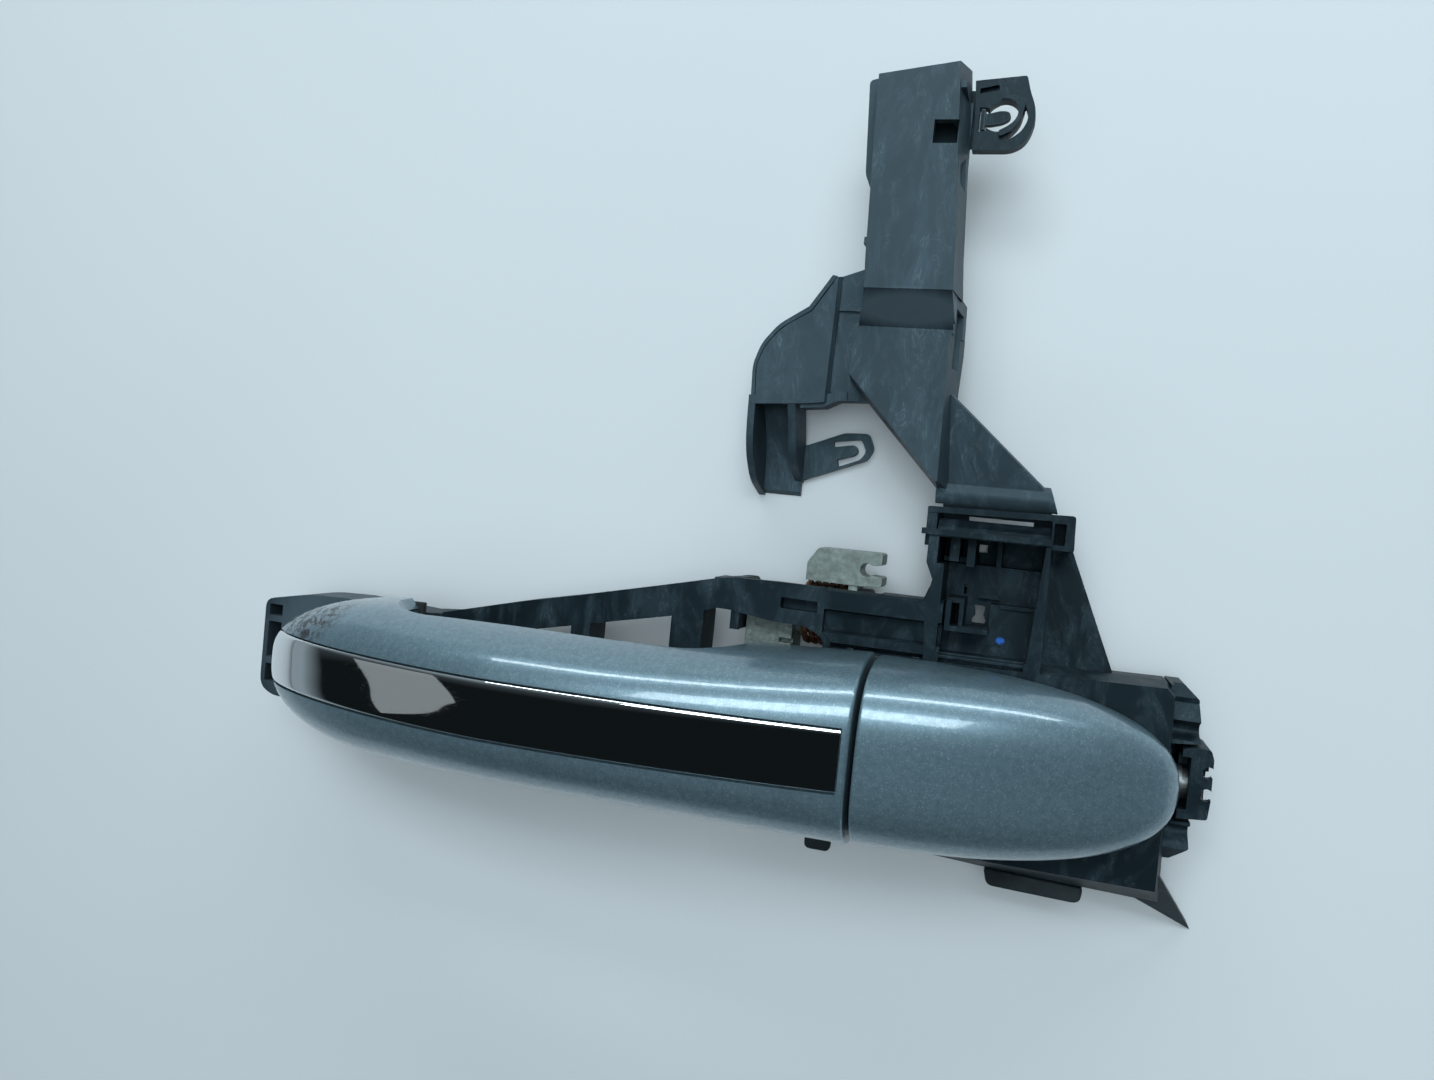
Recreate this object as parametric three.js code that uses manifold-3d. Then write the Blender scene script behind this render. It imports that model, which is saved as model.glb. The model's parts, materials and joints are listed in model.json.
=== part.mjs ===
// Outside door handle of a car, with its painted pull grip, end cap, carrier, release lever and latch arm.
// Millimetres. +Z points out of the door, +X runs to the end cap, +Y to the head of the latch arm.
// Origin: on the carrier's seat for the door skin, at the split between grip and end cap.
import * as THREE from 'three';
import { mergeVertices } from 'three/addons/utils/BufferGeometryUtils.js';
import Module from 'manifold-3d';

const wasm = await Module();
wasm.setup();

// ---------------------------------------------------------------- driving dimensions
const GAP = 0.3; // between pieces that touch
const WALL = 2.4; // glass-filled mouldings
const SEAT = 0; // carrier's flat front, against the door skin
const DEPTH = 26; // from the seat to the carrier's lowest feet
const RAIL_DEPTH = 11;

const GRIP = {
  tip: -167.8, // front end
  end: -0.5, // rear end, at the split
  noseStart: -123.5, // the plan outline starts to round here
  crestPeak: -85,
  height: 37.5,
  endDrop: 8, // fall of the crest from its peak to the split
  halfWidth: 20.3,
  flare: 1.7, // growth of the half width towards the split
  middle: -1.2, // the sections sit a little to the -Y side of the strip
  middleRise: 0.6,
  base: 2.9, // underside of both feet
  wall: 2.6,
  archTop: 20.5, // finger side of the bar
  archFront: -122.5,
  archRear: -33,
  archRound: 15,
  archFlare: 0.055, // the arch widens towards both sides of the bar
};
const CAP = {
  start: 0.7,
  tip: 69.3,
  halfWidth: 21.5,
  middle: -0.5,
  height: 29.6,
  slope: 0.16,
  wall: 2.6,
};
const STRIP = { halfWidth: 7.35, depth: 1.5, to: -2.2 };

const PIVOT = { x: -165, z: -6, r: 3, length: 14 }; // grip swings about this line, along Y
const LEVER = { y: 27.5, z: -14, pin: 3, hub: 5.6 }; // release lever turns about this line, along X
const BAY = { left: -38, right: -5, cheek: 2.2 }; // cheeks that carry the lever's pin
const FINGER = { left: -35.3, right: -23.2 };
const PULL = { left: -30, right: -22, back: -12, front: -1, ledge: -21.7, foot: -25 };
const SCREW = { y: -1, z: -9.5, shank: 2.5, pitch: 1.25 }; // retaining screw, along X
const STEM = { x0: 17, x1: 33, halfWidth: 8.5, bottom: -17 }; // end cap's stem through the carrier
const HEAD_Z = 16.2; // front face of the latch arm's head
const NECK_Z = 4.2; // front face of the arm below its step

// ---------------------------------------------------------------- solids
function solidOf(geometry) {
  const bare = geometry.clone();
  bare.deleteAttribute('normal');
  bare.deleteAttribute('uv');
  const merged = mergeVertices(bare, 1e-4);
  return new wasm.Manifold(new wasm.Mesh({
    numProp: 3,
    vertProperties: new Float32Array(merged.attributes.position.array),
    triVerts: new Uint32Array(merged.index.array),
  }));
}

const join = (...solids) => solids.reduce((all, one) => all.add(one));
const cut = (solid, ...tools) => tools.reduce((left, tool) => left.subtract(tool), solid);

// A closed outline from [x, y] or [x, y, corner radius] points.
function outline(points) {
  const shape = new THREE.Shape();
  const at = (i) => points[(i + points.length) % points.length];
  points.forEach(([x, y, r = 0], i) => {
    if (!r) {
      if (i) shape.lineTo(x, y);
      else shape.moveTo(x, y);
      return;
    }
    const towards = ([px, py]) => {
      const length = Math.hypot(px - x, py - y);
      const t = Math.min(r, length * 0.49) / length;
      return [x + (px - x) * t, y + (py - y) * t];
    };
    const [ax, ay] = towards(at(i - 1));
    const [bx, by] = towards(at(i + 1));
    if (i) shape.lineTo(ax, ay);
    else shape.moveTo(ax, ay);
    shape.quadraticCurveTo(x, y, bx, by);
  });
  shape.closePath();
  return shape;
}

function extrude(shape, depth) {
  return new THREE.ExtrudeGeometry(shape, { depth, bevelEnabled: false, curveSegments: 4 });
}

// Flat pieces: an outline in XY between two heights, in YZ between two x, or in XZ between two y.
function plateZ(points, z0, z1) {
  return solidOf(extrude(outline(points), z1 - z0).translate(0, 0, z0));
}
function plateX(points, x0, x1) {
  const turned = new THREE.Matrix4().makeBasis(
    new THREE.Vector3(0, 1, 0), new THREE.Vector3(0, 0, 1), new THREE.Vector3(1, 0, 0));
  return solidOf(extrude(outline(points), x1 - x0).applyMatrix4(turned).translate(x0, 0, 0));
}
function plateY(points, y0, y1) {
  const turned = new THREE.Matrix4().makeBasis(
    new THREE.Vector3(1, 0, 0), new THREE.Vector3(0, 0, 1), new THREE.Vector3(0, -1, 0));
  return solidOf(extrude(outline(points), y1 - y0).applyMatrix4(turned).translate(0, y1, 0));
}
function box(x0, x1, y0, y1, z0, z1) {
  const g = new THREE.BoxGeometry(x1 - x0, y1 - y0, z1 - z0);
  return solidOf(g.translate((x0 + x1) / 2, (y0 + y1) / 2, (z0 + z1) / 2));
}

// Round pieces along X, Y or Z.
function rodX(x0, x1, y, z, r, sides = 24) {
  const g = new THREE.CylinderGeometry(r, r, x1 - x0, sides).rotateZ(Math.PI / 2);
  return solidOf(g.translate((x0 + x1) / 2, y, z));
}
function rodY(y0, y1, x, z, r, sides = 24) {
  return solidOf(new THREE.CylinderGeometry(r, r, y1 - y0, sides).translate(x, (y0 + y1) / 2, z));
}
function rodZ(z0, z1, x, y, r, sides = 24) {
  const g = new THREE.CylinderGeometry(r, r, z1 - z0, sides).rotateX(Math.PI / 2);
  return solidOf(g.translate(x, y, (z0 + z1) / 2));
}

// A closed skin through rings of points, with a fan over each end.
function loft(rings) {
  const n = rings[0].length;
  const points = rings.flat();
  const middle = (ring) => ring.reduce((s, p) => s.add(p), new THREE.Vector3()).divideScalar(n);
  points.push(middle(rings[0]), middle(rings.at(-1)));
  const first = points.length - 2;
  const last = first + 1;
  const index = [];
  for (let k = 0; k < rings.length - 1; k++) {
    for (let i = 0; i < n; i++) {
      const a = k * n + i;
      const b = k * n + ((i + 1) % n);
      index.push(a, b, a + n, b, b + n, a + n);
    }
  }
  const top = (rings.length - 1) * n;
  for (let i = 0; i < n; i++) {
    const j = (i + 1) % n;
    index.push(first, j, i, last, top + i, top + j);
  }
  const g = new THREE.BufferGeometry();
  g.setAttribute('position', new THREE.Float32BufferAttribute(points.flatMap((p) => [p.x, p.y, p.z]), 3));
  g.setIndex(index);
  const made = solidOf(g);
  return made.volume() > 0 ? made : solidOf(flipped(g));
}
function flipped(g) {
  const turned = g.clone();
  const i = turned.index.array;
  for (let k = 0; k < i.length; k += 3) [i[k], i[k + 1]] = [i[k + 1], i[k]];
  return turned;
}

// A prism whose outline changes between two heights, so its walls have draft.
function drafted(low, z0, high, z1) {
  const ring = (points, z) => points.map(([x, y]) => new THREE.Vector3(x, y, z));
  return loft([ring(low, z0), ring(high, z1)]);
}

// A flat plate through three or more points in space, thickened along its normal.
function panel(points, thickness) {
  const [a, b, c] = points.map((p) => new THREE.Vector3(...p));
  const normal = b.clone().sub(a).cross(c.clone().sub(a)).normalize().multiplyScalar(thickness);
  const near = points.map((p) => new THREE.Vector3(...p));
  return loft([near, near.map((p) => p.clone().add(normal))]);
}

const range = (count) => Array.from({ length: count }, (_, i) => i);
const mix = (a, b, t) => a + (b - a) * t;

// ---------------------------------------------------------------- grip and end cap surfaces
// Plan and crest of the grip and of the end cap: half width, middle and crest height at x.
const gripShape = {
  halfWidth(x) {
    const bar = GRIP.halfWidth + GRIP.flare * Math.max(0, (x + 60) / 60) ** 1.5;
    const s = Math.max(0, (GRIP.noseStart - x) / (GRIP.noseStart - GRIP.tip));
    return bar * Math.sqrt(Math.max(0, 1 - s ** 1.97));
  },
  middle: (x) => GRIP.middle + GRIP.middleRise * Math.max(0, (x + 60) / 60),
  crest(x) {
    if (x > GRIP.crestPeak) {
      return GRIP.height - GRIP.endDrop * ((x - GRIP.crestPeak) / -GRIP.crestPeak) ** 2.2;
    }
    const s = (GRIP.crestPeak - x) / (GRIP.crestPeak - GRIP.tip);
    return GRIP.base + (GRIP.height - GRIP.base) * Math.max(0, 1 - s ** 1.5) ** (1 / 1.9);
  },
};
const capShape = {
  halfWidth: (x) => CAP.halfWidth * Math.max(0, 1 - (x / CAP.tip) ** 2.75) ** (1 / 2.4),
  middle: () => CAP.middle,
  crest(x) {
    const rise = CAP.height - GRIP.base - CAP.slope * x;
    return GRIP.base + rise * Math.max(0, 1 - (x / CAP.tip) ** 2.65) ** (1 / 1.82);
  },
};

// One cross-section, drawn in by the inset: up from the base, over the shoulder and across the crown.
function section(x, shape, inset, base) {
  const steps = 16;
  const halfWidth = Math.max(0.05, shape.halfWidth(x) - inset);
  const rise = Math.max(0.05, shape.crest(x) - inset - base);
  return range(steps + 1).map((i) => {
    const a = (Math.PI * i) / steps;
    const across = Math.sign(Math.cos(a)) * Math.abs(Math.cos(a)) ** (2 / 3.2);
    return new THREE.Vector3(x, shape.middle(x) + halfWidth * across,
      base + rise * Math.sin(a) ** (2 / 2.85));
  });
}
function shellBody(stations, shape, inset, base) {
  return loft(stations.map((x) => section(x, shape, inset, base)));
}

// Stations crowd towards the rounded end.
const gripStations = (from, to) => range(30).map((i) => mix(to, from, Math.sin((Math.PI * i) / 58)));
const capStations = (from, to) => range(18).map((i) => mix(from, to, Math.sin((Math.PI * i) / 34)));

const gripSolid = shellBody(gripStations(GRIP.tip + 0.05, GRIP.end), gripShape, 0, GRIP.base);
const gripHollow = (inset, from, to) => shellBody(gripStations(from, to), gripShape, inset, GRIP.base - 1);

// The finger opening between the two feet, grown by t for the lining. It widens towards both sides.
function archSpace(t, reach) {
  const { archFront, archRear, archTop, archRound, archFlare } = GRIP;
  const ring = (y) => {
    const flare = archFlare * Math.max(0, Math.abs(y) - 10) ** 2;
    const front = archFront - flare - t;
    const rear = archRear + flare * 0.4 + t;
    const top = archTop + t;
    const corner = (x, side) => range(5).map((i) => {
      const a = (Math.PI / 2) * (side > 0 ? 1 - i / 4 : i / 4);
      return [x - side * archRound * (1 - Math.cos(a)), top - archRound * (1 - Math.sin(a))];
    });
    const outlineXZ = [[front, -2], ...corner(front, -1), ...corner(rear, 1), [rear, -2]];
    return outlineXZ.map(([x, z]) => new THREE.Vector3(x, y, z));
  };
  return loft([-reach, -21, -18, -15, -10, 10, 15, 18, 21, reach].map(ring));
}
const archVoid = archSpace(0, 30);

// The bright strip follows the crest and turns down over the nose.
function crestBand(halfWidth, below, above, from, to) {
  const { crest } = gripShape;
  const dx = 0.05;
  const stations = gripStations(from, to).reverse();
  return loft(stations.map((x) => {
    const slope = (crest(x + dx) - crest(Math.max(x - dx, GRIP.tip))) / (2 * dx);
    const n = new THREE.Vector2(-slope, 1).normalize();
    const corner = (y, h) => new THREE.Vector3(x + n.x * h, y, crest(x) + n.y * h);
    return [corner(-halfWidth, -below), corner(halfWidth, -below), corner(halfWidth, above),
      corner(-halfWidth, above)];
  }));
}

// ---------------------------------------------------------------- grip
const SCREWS = [[-145, 0], [-136.5, 0], [-16, 4], [-8, -6]]; // grip screws, front pair then rear pair
const FLANGE = { z0: 7.4, z1: 9.4 }; // hook and pull arm are screwed on at this level
const GRIP_SCREW = { shank: 1.9, head: 3.4, headHeight: 1.6, length: 9 };

function gripOuterShell() {
  const boss = ([x, y]) => rodZ(FLANGE.z1 + GAP, GRIP.height, x, y, 4.2, 12).intersect(gripSolid);
  const bore = ([x, y]) => rodZ(0, FLANGE.z1 + GRIP_SCREW.length, x, y, GRIP_SCREW.shank + GAP, 12);
  const shell = cut(gripSolid, archVoid, gripHollow(GRIP.wall, GRIP.tip + 5, GRIP.end - GRIP.wall));
  const groove = crestBand(STRIP.halfWidth, STRIP.depth, 6, GRIP.tip, STRIP.to);
  return cut(join(shell, ...SCREWS.map(boss)), groove, ...SCREWS.map(bore));
}

function chromeInsert() {
  const halfWidth = STRIP.halfWidth - GAP;
  const band = crestBand(halfWidth, STRIP.depth - GAP, 5, GRIP.tip, STRIP.to - GAP);
  return gripSolid.intersect(band);
}

// Finger-side lining with the floors of both feet.
function gripInnerShell() {
  const t = 2.2;
  const lining = cut(archSpace(t, 24), archVoid, box(-200, 20, -30, 30, -10, GRIP.base));
  const floor = box(GRIP.tip, GRIP.end, -24, 22, GRIP.base, GRIP.base + t);
  const inset = GRIP.wall + GAP;
  const inside = gripHollow(inset, GRIP.tip + 5 + GAP, GRIP.end - inset);
  const hookHole = box(-156.5, -148.5, -7.5, 7.5, -5, 10);
  const armHole = box(PULL.left - 0.5, PULL.right + 0.5, PULL.back - 0.5, PULL.back + 4.3, -5, 10);
  const skin = inside.intersect(join(lining, cut(floor, archVoid)));
  return cut(skin, hookHole, armHole);
}

function screwHoles(screws) {
  return screws.map(([x, y]) => rodZ(FLANGE.z0 - 2, FLANGE.z1 + 1, x, y, GRIP_SCREW.shank + GAP, 12));
}

// Front hook: its round toe turns under the carrier's front lip.
function gripPivotHook() {
  const leg = box(-156, -149, -7, 7, PIVOT.z - 2.5, FLANGE.z1);
  const flange = plateZ([[-159, -6, 2], [-133, -6, 2], [-133, 6, 2], [-159, 6, 2]], FLANGE.z0, FLANGE.z1);
  const toe = box(PIVOT.x, -149, -PIVOT.length / 2, PIVOT.length / 2, PIVOT.z - 2.5, PIVOT.z + 2.5);
  const nose = rodY(-PIVOT.length / 2, PIVOT.length / 2, PIVOT.x, PIVOT.z, PIVOT.r, 20);
  const fillet = plateY([[-149.1, -3.6], [-149.1, 3, 2], [-146.2, -3.6]], -1, 1);
  return cut(join(leg, flange, toe, nose, fillet), ...screwHoles(SCREWS.slice(0, 2)));
}

// Rear arm: reaches through the door and lifts the lever's finger with its ledge.
function gripPullArm() {
  const { left, right, back, front, ledge, foot } = PULL;
  const leg = box(left, right, back, back + 3.8, foot, FLANGE.z1);
  const toe = plateX([[back, foot], [front, foot, 1], [front, ledge, 1], [back, ledge]], left, right);
  const rib = plateX([[back + 3.7, 5], [back + 7.5, 7.5], [back + 3.7, 7.5]], left, right);
  const flange = plateZ([[left, -12], [-4, -12, 3], [-4, 8, 3], [left, 8, 3]], FLANGE.z0, FLANGE.z1);
  return cut(join(leg, toe, rib, flange), ...screwHoles(SCREWS.slice(2)));
}

function gripScrew([x, y]) {
  const { shank, head, headHeight, length } = GRIP_SCREW;
  const top = FLANGE.z0 - GAP;
  const socket = rodZ(top - headHeight - 0.1, top - headHeight + 0.9, x, y, 1.5, 6);
  const body = rodZ(top - 0.1, FLANGE.z1 + length - 1, x, y, shank, 12);
  return cut(join(rodZ(top - headHeight, top, x, y, head, 16), body), socket);
}

// A gasket's outline follows the foot above it, drawn in by the lip.
function footprint(shapeAt, from, to, lip) {
  const xs = range(14).map((i) => mix(from, to, i / 13));
  const side = (sign) => xs.map((x) => {
    const shape = shapeAt(x);
    return [x, shape.middle(x) + sign * Math.max(0.5, shape.halfWidth(x) - lip)];
  });
  return [...side(1), ...side(-1).reverse()];
}
const GASKET = { z0: 0.9, z1: 2.6, lip: 0.9 };

function frontGasket() {
  const outlineXY = footprint(() => gripShape, GRIP.tip + 1.6, GRIP.archFront - 1, GASKET.lip);
  const pad = plateZ(outlineXY, GASKET.z0, GASKET.z1);
  return cut(pad, box(-157, -146.5, -8, 8, 0, 4));
}

function rearGasket() {
  const shapeAt = (x) => (x > 0 ? capShape : gripShape);
  const outline = footprint(shapeAt, GRIP.archRear + 1, CAP.tip - 1.5, GASKET.lip);
  const pad = plateZ(outline, GASKET.z0, GASKET.z1);
  const tab = plateZ([[-13, -28.6, 1.5], [-6.6, -28.6, 1.5], [-6.6, -19], [-13, -19]], GASKET.z0, GASKET.z1);
  const armWay = box(PULL.left - 0.9, PULL.right + 3, PULL.back - 1.5, 13, 0, 4);
  const stemWay = box(STEM.x0 - 0.5, STEM.x1 + 0.5, -STEM.halfWidth - 0.5, STEM.halfWidth + 0.5, 0, 4);
  return cut(join(pad, tab), armWay, stemWay);
}

// ---------------------------------------------------------------- end cap
function endCapShell() {
  const body = shellBody(capStations(CAP.start, CAP.tip - 0.05), capShape, 0, GRIP.base);
  const hollow = shellBody(capStations(CAP.start + CAP.wall, CAP.tip - 4.5), capShape, CAP.wall,
    GRIP.base - 1);
  return cut(body, hollow);
}

// Inner plate with the stem that goes through the door and takes the retainer's tongue.
function endCapBase() {
  const inset = CAP.wall + GAP;
  const hollow = shellBody(capStations(CAP.start + inset, CAP.tip - 4.5 - GAP), capShape, inset,
    GRIP.base - 1);
  const plate = hollow.intersect(box(0, 70, -25, 25, GRIP.base, GRIP.base + 2.2));
  const { x0, x1, halfWidth: w, bottom } = STEM;
  const stem = cut(box(x0, x1, -w, w, bottom, GRIP.base + 1),
    box(x0 + 2.4, x1 - 2.4, -w + 2.4, w - 2.4, bottom - 1, 1));
  const slot = box(x1 - 4, x1 + 1, SCREW.y - 3.4, SCREW.y + 3.4, SCREW.z - 2.9, SCREW.z + 2.9);
  return cut(join(plate, stem), slot);
}

// ---------------------------------------------------------------- retainer
const RETAINER = { left: 36, right: 58, halfWidth: 5, halfHeight: 4.5, tongue: 28.6, travel: 5 };

function retainerSlide() {
  const { left, right, halfWidth: w, halfHeight: h, tongue } = RETAINER;
  const { y, z } = SCREW;
  const block = plateZ([[left, y - w, 1.5], [right, y - w], [right, y + w], [left, y + w, 1.5]], z - h,
    z + h);
  const nose = plateZ([[tongue, y - 2.9, 1.2], [left + 1, y - 2.9], [left + 1, y + 2.9],
    [tongue, y + 2.9, 1.2]], z - 2.4, z + 2.4);
  return cut(join(block, nose), rodX(left + 2.5, right + 1, y, z, SCREW.shank + GAP));
}

function retainingScrew() {
  const { y, z, shank } = SCREW;
  const parts = [
    rodX(RETAINER.left + 10, 70.6, y, z, shank),
    rodX(69.3, 70.9, y, z, 4.4),
    rodX(70.8, 75.4, y, z, 3.6),
  ];
  return cut(join(...parts), rodX(73, 76, y, z, 2, 6));
}

// ---------------------------------------------------------------- release lever
// One zinc casting: hub, finger for the pull arm, and weighted fork for the latch cable.
function releaseLever() {
  const { y, z, pin, hub } = LEVER;
  const left = BAY.left + BAY.cheek + GAP;
  const right = BAY.right - BAY.cheek - GAP;
  const nose = PULL.ledge + 0.7;
  const barrel = rodX(left, right, y, z, hub);
  const finger = plateX([
    [y - 2, -6.5, 1], [16, -6.5, 2], [4, -11.5, 3], [-4.5, -15.4, 2], [-6.8, -17.4, 1.5],
    [-6.8, -19.6, 1.2],
    [-5.8, nose, 0.6], [-4.8, nose, 0.8], [-2.2, -17.9, 2], [12, -18.6, 4], [y, z - hub + 0.4],
  ], FINGER.left, FINGER.right);
  const notch = box(FINGER.right - 3.2, FINGER.right + 1, 19.4, 20.6, -9, 0);
  const web = plateX([[y - 5, z - 2], [y + 5, z - 3], [37.5, -12], [37.5, -5], [33, -4.6],
    [y - 3, z + 5.3]], right - 2.3, right);
  const weight = plateZ([
    [-20.6, 36.2], [-20.6, 40.6], [-18, 44.6, 0.8], [-2, 44.6, 0.8], [-2, 41.6, 0.6], [-4.6, 41.4],
    [-4.6, 38.9], [-1.6, 38.7, 0.6], [-1.6, 36.3, 0.8], [-7.6, 36],
  ], -13, -4.4);
  const cableEye = rodZ(-14, -3, -5.6, 40.2, 1.7, 16);
  const bore = rodX(left - 1, right + 1, y, z, pin + 0.06);
  return cut(join(barrel, finger, web, weight), notch, cableEye, bore);
}

function leverPin() {
  const { y, z, pin } = LEVER;
  return join(rodX(BAY.left - 1.5, BAY.right + 2.2, y, z, pin),
    rodX(BAY.left - 2.6, BAY.left - GAP, y, z, 4.6));
}
function pinClip() {
  const { y, z, pin } = LEVER;
  return cut(rodX(BAY.right + GAP, BAY.right + 1.1, y, z, 5.4),
    rodX(BAY.right, BAY.right + 2, y, z, pin + GAP));
}

// Return spring: coils round the hub between the finger and the fork's web.
class Helix extends THREE.Curve {
  constructor(radius, turns, pitch, start) {
    super();
    Object.assign(this, { radius, turns, pitch, start });
  }
  getPoint(t, target = new THREE.Vector3()) {
    const a = this.start + 2 * Math.PI * this.turns * t;
    return target.set(this.pitch * this.turns * t, this.radius * Math.cos(a), this.radius * Math.sin(a));
  }
}
function roundBar(curve, steps, r, sides = 6) {
  const circle = new THREE.Shape(range(sides).map((i) => {
    const a = (2 * Math.PI * i) / sides;
    return new THREE.Vector2(r * Math.cos(a), r * Math.sin(a));
  }));
  return new THREE.ExtrudeGeometry(circle, { steps, extrudePath: curve, bevelEnabled: false });
}
const SPRING = { radius: 7.6, wire: 0.8, turns: 5.5, pitch: 1.9, left: -21.6 };
function leverSpring() {
  const { radius, wire, turns, pitch, left } = SPRING;
  const coil = roundBar(new Helix(radius, turns, pitch, -Math.PI / 2), turns * 16, wire);
  return solidOf(coil.translate(left, LEVER.y, LEVER.z));
}

// ---------------------------------------------------------------- carrier
// Front block with the hook's pocket, windowed rail, lever bay, base under the cap and cable box.
function frontBlock() {
  const block = plateZ([
    [-176.4, 12.9, 2.4], [-176.4, -12.2, 3], [-172, -14.6, 2], [-126, -16, 2], [-118, -10], [-118, 15.8],
    [-128, 14.9], [-150, 16.1], [-162, 15.7, 3],
  ], -14, SEAT);
  const pocket = (y0, y1) => box(-175, -170.6, y0, y1, -7, 1);
  const hookWay = box(-163.2, -145, -8, 8, -15, 1);
  const toeWay = box(-169.4, -145, -8, 8, -15, -2.5);
  const lightener = (y0, y1) => box(-142.6, -121, y0, y1, -15, -WALL);
  const feet = cut(box(-172, -144.5, -10.8, 10.8, -DEPTH, -13),
    box(-169.4, -147, -8.2, 8.2, -DEPTH - 1, -12));
  return cut(join(block, feet), pocket(8.4, 11.6), pocket(-3.6, 6.6), pocket(-10.6, -5.6), hookWay, toeWay,
    box(-169.4, -147, -8.2, 8.2, -DEPTH - 1, -12), lightener(1, 13.6), lightener(-14, -1));
}

// Window outlines of the rail, seen from outside.
const WINDOWS = [
  [[-115, -10.5, 2], [-80.8, -11.5, 2], [-80.8, 17.2], [-115, 9.6, 2]],
  [[-75.6, -11.5, 1.5], [-53.4, -12, 1.5], [-53.4, 23.2], [-75.6, 18.4]],
  [[-45, -16, 2], [-13.4, -16, 2], [-13.4, 22.6, 3], [-19, 25], [-27, 25.2], [-41, 27], [-45, 25.6]],
];
function rail() {
  const frame = plateZ([
    [-119, -15.8], [-45, -20], [-12, -21], [-12, 22], [-14.4, 24], [-14.4, 35], [-26, 35.1],
    [-39, 34.9, 3], [-43, 34],
    [-60, 29.9], [-79, 25.5], [-96, 21.8], [-119, 16],
  ], -RAIL_DEPTH, SEAT);
  // Channels in the back leave a front wall and two flanges on every bar.
  const channel = (points) => plateZ(points, -RAIL_DEPTH - 1, -WALL);
  const channels = [
    channel([[-112, 14], [-78.5, 21], [-78.5, 23], [-112, 15.6]]),
    channel([[-76.5, 22], [-52, 27.2], [-52, 28.8], [-76.5, 23.6]]),
    channel([[-50.8, -11], [-47.4, -11], [-47.4, 27], [-50.8, 27]]),
    channel([[-113, -13.4], [-52, -16.9], [-52, -14.6], [-113, -12.6]]),
    channel([[-43, -17.6], [-14.8, -18.8], [-14.8, -17.4], [-43, -16.8]]),
  ];
  // The lever turns under this stretch, so only the front wall is left.
  const leverWay = box(BAY.left + 0.2, -11, -14, 36, -RAIL_DEPTH - 1, -WALL);
  const slot = plateZ([[-25.4, 28.7, 0.5], [-16, 28.6, 0.5], [-16, 31.3, 0.5], [-25.4, 31.5, 0.5]], -3.5, 1);
  const slotFloor = box(-26.6, -14.8, 27.6, 32.6, -4.7, -3.4);
  const slotWall = box(-26.6, -14.8, 27.6, 32.6, -4, -WALL + 0.1);
  const open = cut(frame, ...WINDOWS.map((w) => plateZ(w, -RAIL_DEPTH - 1, 1)), ...channels, leverWay);
  return cut(join(open, slotFloor, slotWall), slot);
}

// Two cheeks carry the lever's pin behind the rail.
function leverBay() {
  const { y, z, pin } = LEVER;
  const cheek = (x0, top) => {
    const ear = plateX([
      [y - 5.6, top], [y - 5.6, z - 5, 3], [y - 3, z - 8, 3], [y + 4, z - 8, 3], [y + 7.5, z - 4, 4],
      [y + 7.5, top],
    ], x0, x0 + BAY.cheek);
    return cut(ear, rodX(x0 - 1, x0 + BAY.cheek + 1, y, z, pin + GAP));
  };
  const skirt = box(BAY.left - 5.2, BAY.left + 1, 26.6, 34.4, -RAIL_DEPTH, -1);
  const relief = cut(skirt, box(BAY.left - 4, BAY.left - 0.2, 27.8, 33.2, -RAIL_DEPTH - 1, -WALL));
  const cheeks = [cheek(BAY.left, -0.5), cheek(BAY.right - BAY.cheek, -3.8)];
  return join(...cheeks, cut(relief, rodX(-50, BAY.left, y, z, 5.4)));
}

// Room under the cover for the turning lever, its coil and both ends of its pin.
function leverSpace() {
  const right = BAY.right - BAY.cheek;
  return [
    box(BAY.left, right, 17.5, 46, -30, -4.9),
    box(-13.6, -1.2, 32, 46, -30, -WALL),
    box(right - 1, -2, 21.5, 36, -30, -4.9),
    rodX(BAY.left - 4, BAY.left, LEVER.y, LEVER.z, 5.2),
  ];
}

// Stepped cover between the lever bay and the cable box.
function cableCover() {
  const profile = [
    [35, -1.2], [34.4, SEAT], [29.9, SEAT], [29.2, -3], [24.6, -3.4], [24, -1], [21.8, -1], [21.2, -4],
    [17, -4], [17, -6.4], [23, -6.4], [23.4, -4.8], [31, -4.8], [32, -2.4], [34, -2.6], [34.4, -9], [35, -9],
  ];
  const skin = plateX(profile, -14.6, 14);
  const slit = plateZ([[2.8, 18.2, 0.4], [7.8, 18.2, 0.4], [7.6, 20.4, 0.6], [3.4, 20.4, 0.4]], -8, 1);
  const ribs = [-1.5, 5].map((x) => box(x, x + 1.4, 22, 34.6, -9, -4));
  return cut(join(skin, ...ribs), slit);
}

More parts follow.
